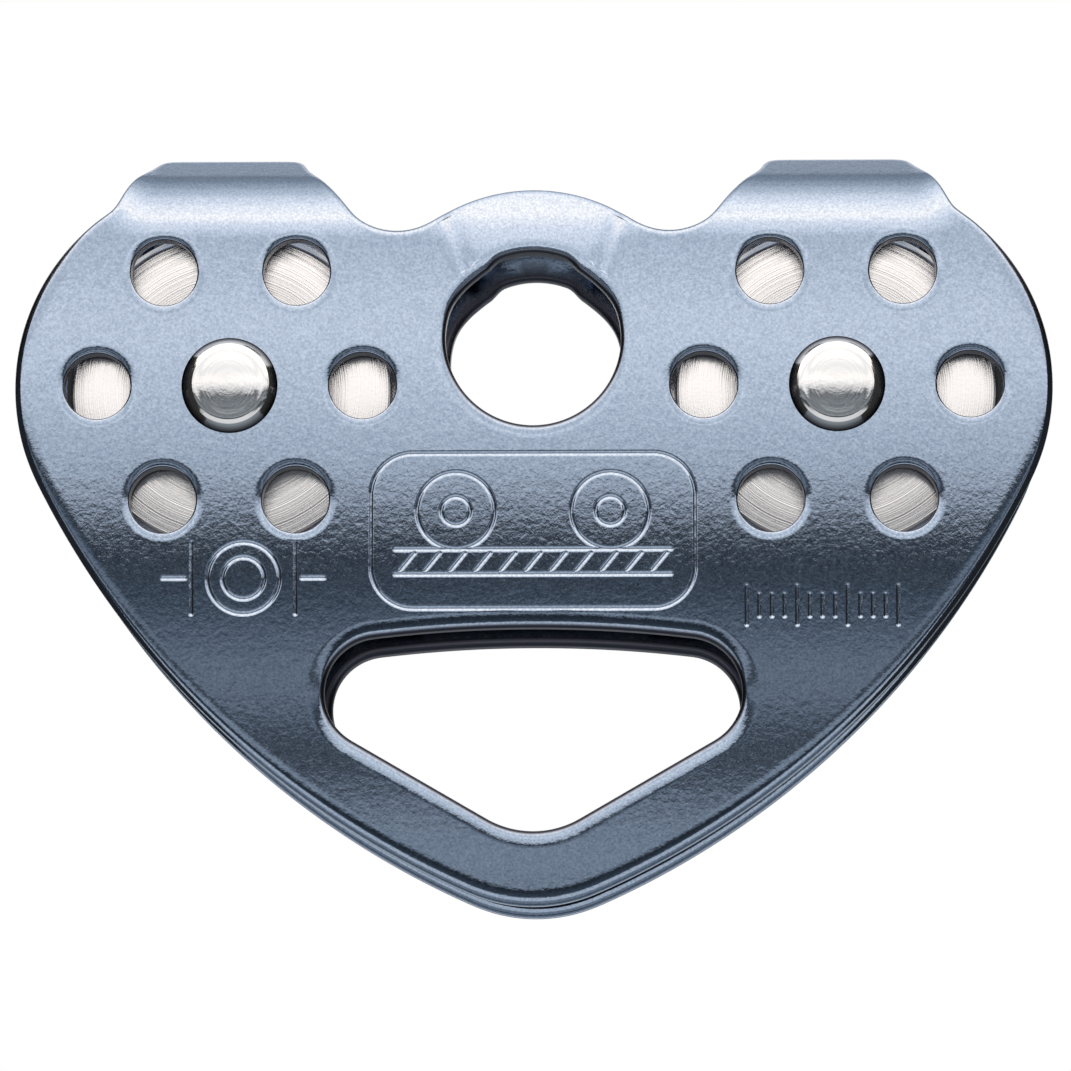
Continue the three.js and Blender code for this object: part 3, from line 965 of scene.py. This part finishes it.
def floor_material():
    material, nodes, links, shader = new_material("studio_floor", (0.86, 0.86, 0.86), 0.0, 0.9)
    mottle = noise(nodes, links, object_coordinates(nodes), scale=3, detail=3)
    links.new(blended_colour(nodes, links, mottle, *FLOOR_COLOURS), shader.inputs["Base Color"])
    return material


# ---------- Camera and studio ----------

CAMERA_PLACE = (14.6, -OUTER_Y - 720, AXLE_Z - 115.4)
CAMERA_TARGET = (0.3, -OUTER_Y, AXLE_Z - 18.2)
VIEW_WIDTH = 127.5
SENSOR_WIDTH = 36

# Brightness of the light tent, by degrees above straight ahead.
TENT_STOPS = [
    (-90, 0.26), (-62, 0.34), (-50, 0.78), (-31, 0.78), (-25, 0.10), (-14.5, 0.03),
    (-12, 0.44), (-8.5, 0.44), (-5.2, 0.02), (-1.8, 0.38), (2.0, 0.13), (5.6, 0.0), (7.0, 0.76), (9, 0.86),
    (12.5, 1.10), (15.5, 1.30), (19, 0.98), (23, 1.02), (30, 1.27), (38, 1.50), (50, 1.95), (62, 1.80),
    (72, 1.50), (88, 0.98), (96, 0.70), (108, 0.45), (116, 0.38), (121, 0.62), (126, 0.95), (142, 0.55),
]
BRIGHT_ROOM = 1.0
DARK_ROOM = 0.03
COOL_SHADE = 0.24
WARM_LIGHT = 0.15
TENT_LOW, TENT_HIGH = -90, 142
TENT_PEAK = 1.95
TENT_MIDDLE = 0.09

# The tent and the floor, in metres.
TENT_RADIUS = 0.18
TENT_HALF_LENGTH = 0.2
TENT_SPREAD = 0.12
TENT_STEPS = 96
FLOOR_HALF_SIZE = 4.0
FLOOR_Z = -0.3


def make_camera():
    data = bpy.data.cameras.new("camera")
    camera = bpy.data.objects.new("camera", data)
    place, target = Vector(CAMERA_PLACE) * MM, Vector(CAMERA_TARGET) * MM
    camera.location = place
    camera.rotation_euler = (target - place).to_track_quat("-Z", "Y").to_euler()
    data.sensor_width = SENSOR_WIDTH
    data.lens = SENSOR_WIDTH * (target - place).length / (VIEW_WIDTH * MM)
    data.clip_start = 0.01
    data.clip_end = 50
    bpy.context.scene.collection.objects.link(camera)
    bpy.context.scene.camera = camera


def ramp(nodes, links, value, stops):
    """Grey levels that follow value through (position, level) stops."""
    node = nodes.new("ShaderNodeValToRGB")
    node.color_ramp.interpolation = "EASE"
    elements = node.color_ramp.elements
    while len(elements) < len(stops):
        elements.new(0.5)
    for element, (position, level) in zip(elements, stops):
        element.position = position
        cool = COOL_SHADE * (1 - level) ** 4 - WARM_LIGHT * level**4
        element.color = (level * (1 - cool), level, level * (1 + cool), 1)
    links.new(value, node.inputs["Fac"])
    return node.outputs["Color"]


def elevation_share(nodes, links, vector, low, high):
    """How far a direction has turned about X, from low to high degrees, counted up from straight ahead."""
    sides = split_vector(nodes, links, vector)
    ahead = math_node(nodes, links, "MULTIPLY", sides["Y"], -1)
    angle = math_node(nodes, links, "ARCTAN2", sides["Z"], ahead)
    return remapped(nodes, links, angle, 0, 1, math.radians(low), math.radians(high))


def make_world():
    """White to the camera and for matt surfaces, and nearly dark to mirrors, which see the light tent."""
    world = bpy.data.worlds.new("studio")
    bpy.context.scene.world = world
    world.use_nodes = True
    nodes, links = world.node_tree.nodes, world.node_tree.links
    nodes.clear()
    output = nodes.new("ShaderNodeOutputWorld")
    path = nodes.new("ShaderNodeLightPath")
    mix = nodes.new("ShaderNodeMixShader")
    links.new(path.outputs["Is Glossy Ray"], mix.inputs["Fac"])
    for socket, level in ((mix.inputs[1], BRIGHT_ROOM), (mix.inputs[2], DARK_ROOM)):
        background = nodes.new("ShaderNodeBackground")
        background.inputs["Color"].default_value = (level, level, level, 1)
        links.new(background.outputs["Background"], socket)
    links.new(mix.outputs["Shader"], output.inputs["Surface"])


def make_stage(material):
    mesh = bpy.data.meshes.new("studio_floor")
    signs = ((-1, -1), (1, -1), (1, 1), (-1, 1))
    corners = [(x * FLOOR_HALF_SIZE, y * FLOOR_HALF_SIZE, FLOOR_Z) for x, y in signs]
    mesh.from_pydata(corners, [], [(0, 1, 2, 3)])
    mesh.materials.append(material)
    floor = bpy.data.objects.new("studio_floor", mesh)
    floor.visible_glossy = False
    bpy.context.scene.collection.objects.link(floor)


def tent_material():
    material = bpy.data.materials.new("light_tent")
    material.use_nodes = True
    nodes, links = material.node_tree.nodes, material.node_tree.links
    nodes.clear()
    where = object_coordinates(nodes)
    share = elevation_share(nodes, links, where, TENT_LOW, TENT_HIGH)
    reach = TENT_HIGH - TENT_LOW
    stops = [((elevation - TENT_LOW) / reach, level / TENT_PEAK) for elevation, level in TENT_STOPS]
    glow = ramp(nodes, links, share, stops)
    side = math_node(nodes, links, "DIVIDE", split_vector(nodes, links, where)["X"], TENT_SPREAD)
    falloff = math_node(nodes, links, "MULTIPLY", side, side)
    middle = math_node(nodes, links, "POWER", math.e, math_node(nodes, links, "MULTIPLY", falloff, -1))
    extra = math_node(nodes, links, "MULTIPLY", middle, TENT_PEAK * TENT_MIDDLE)
    strength = math_node(nodes, links, "ADD", extra, TENT_PEAK * (1 - TENT_MIDDLE))
    emission = nodes.new("ShaderNodeEmission")
    links.new(glow, emission.inputs["Color"])
    links.new(strength, emission.inputs["Strength"])
    output = nodes.new("ShaderNodeOutputMaterial")
    links.new(emission.outputs["Emission"], output.inputs["Surface"])
    return material


def make_tent(name, material, high, place, turn):
    """A curved light card from below one side of the pulley up to high degrees, unseen by the camera."""
    vertices, faces = [], []
    for k in range(TENT_STEPS + 1):
        angle = math.radians(TENT_LOW + (high - TENT_LOW) * k / TENT_STEPS)
        y, z = -TENT_RADIUS * math.cos(angle), TENT_RADIUS * math.sin(angle)
        vertices += [(-TENT_HALF_LENGTH, y, z), (TENT_HALF_LENGTH, y, z)]
    for k in range(TENT_STEPS):
        faces.append((2 * k, 2 * k + 1, 2 * k + 3, 2 * k + 2))
    mesh = bpy.data.meshes.new(name)
    mesh.from_pydata(vertices, [], faces)
    mesh.materials.append(material)
    tent = bpy.data.objects.new(name, mesh)
    tent.location = (0, place * MM, 0)
    tent.rotation_euler = (0, 0, turn)
    tent.visible_camera = False
    tent.visible_diffuse = False
    tent.visible_shadow = False
    bpy.context.scene.collection.objects.link(tent)


# ---------- Assembly ----------

def make_axle(hand, x, materials):
    wheel = f"{hand}_wheel"
    make_turned(f"sheave_{hand}", sheave_profile(), SHEAVE_SEGMENTS, materials["sheave"], x,
                wheel, f"{hand}_sheave")
    rivet = make_turned(f"rivet_{hand}", rivet_profile(), RIVET_SEGMENTS, materials["rivet"], x,
                        "side_frame", f"{hand}_axle_rivet")
    shade_steep_side(rivet)
    sleeve = ring_profile(SLEEVE_BORE, SLEEVE_RADIUS, -INNER_Y, INNER_Y, SLEEVE_ROUNDING)
    make_turned(f"sleeve_{hand}", sleeve, RING_SEGMENTS, materials["steel"], x,
                "side_frame", f"{hand}_axle_sleeve")
    for end, side in (("front", -1), ("rear", 1)):
        make_turned(f"bushing_{hand}_{end}", bushing_profile(side), RING_SEGMENTS, materials["bushing"], x,
                    wheel, f"{hand}_{end}_bushing")
        low, high = sorted((side * WASHER_INNER_Y, side * INNER_Y))
        washer = ring_profile(WASHER_BORE, FLANGE_RADIUS, low, high, WASHER_ROUNDING)
        make_turned(f"washer_{hand}_{end}", washer, RING_SEGMENTS, materials["steel"], x,
                    "side_frame", f"{hand}_{end}_thrust_washer")


bpy.context.scene.view_settings.view_transform = "Standard"
make_camera()
make_world()
make_stage(floor_material())
tent = tent_material()
make_tent("light_tent_front", tent, TENT_HIGH, -OUTER_Y, 0)
make_tent("light_tent_rear", tent, 180 - TENT_HIGH, OUTER_Y, math.pi)
materials = {
    "plate": anodised_aluminium(),
    "sheave": turned_metal("turned_aluminium", (1.0, 0.97, 0.955), (0.84, 0.80, 0.78),
                           roughness=0.13, ring_scale=5200, ring_strength=0.40),
    "steel": turned_metal("turned_steel", (0.96, 0.95, 0.94), (0.80, 0.79, 0.78),
                          roughness=0.14, ring_scale=2600, ring_strength=0.10),
    "rivet": turned_metal("spun_rivet_steel", (0.97, 0.96, 0.95), (0.78, 0.76, 0.75),
                          roughness=0.12, ring_scale=2600, ring_strength=0.12, dents=0.10),
    "bushing": bearing_material(),
}
make_plates(materials["plate"])
make_axle("left", -AXLE_X, materials)
make_axle("right", AXLE_X, materials)
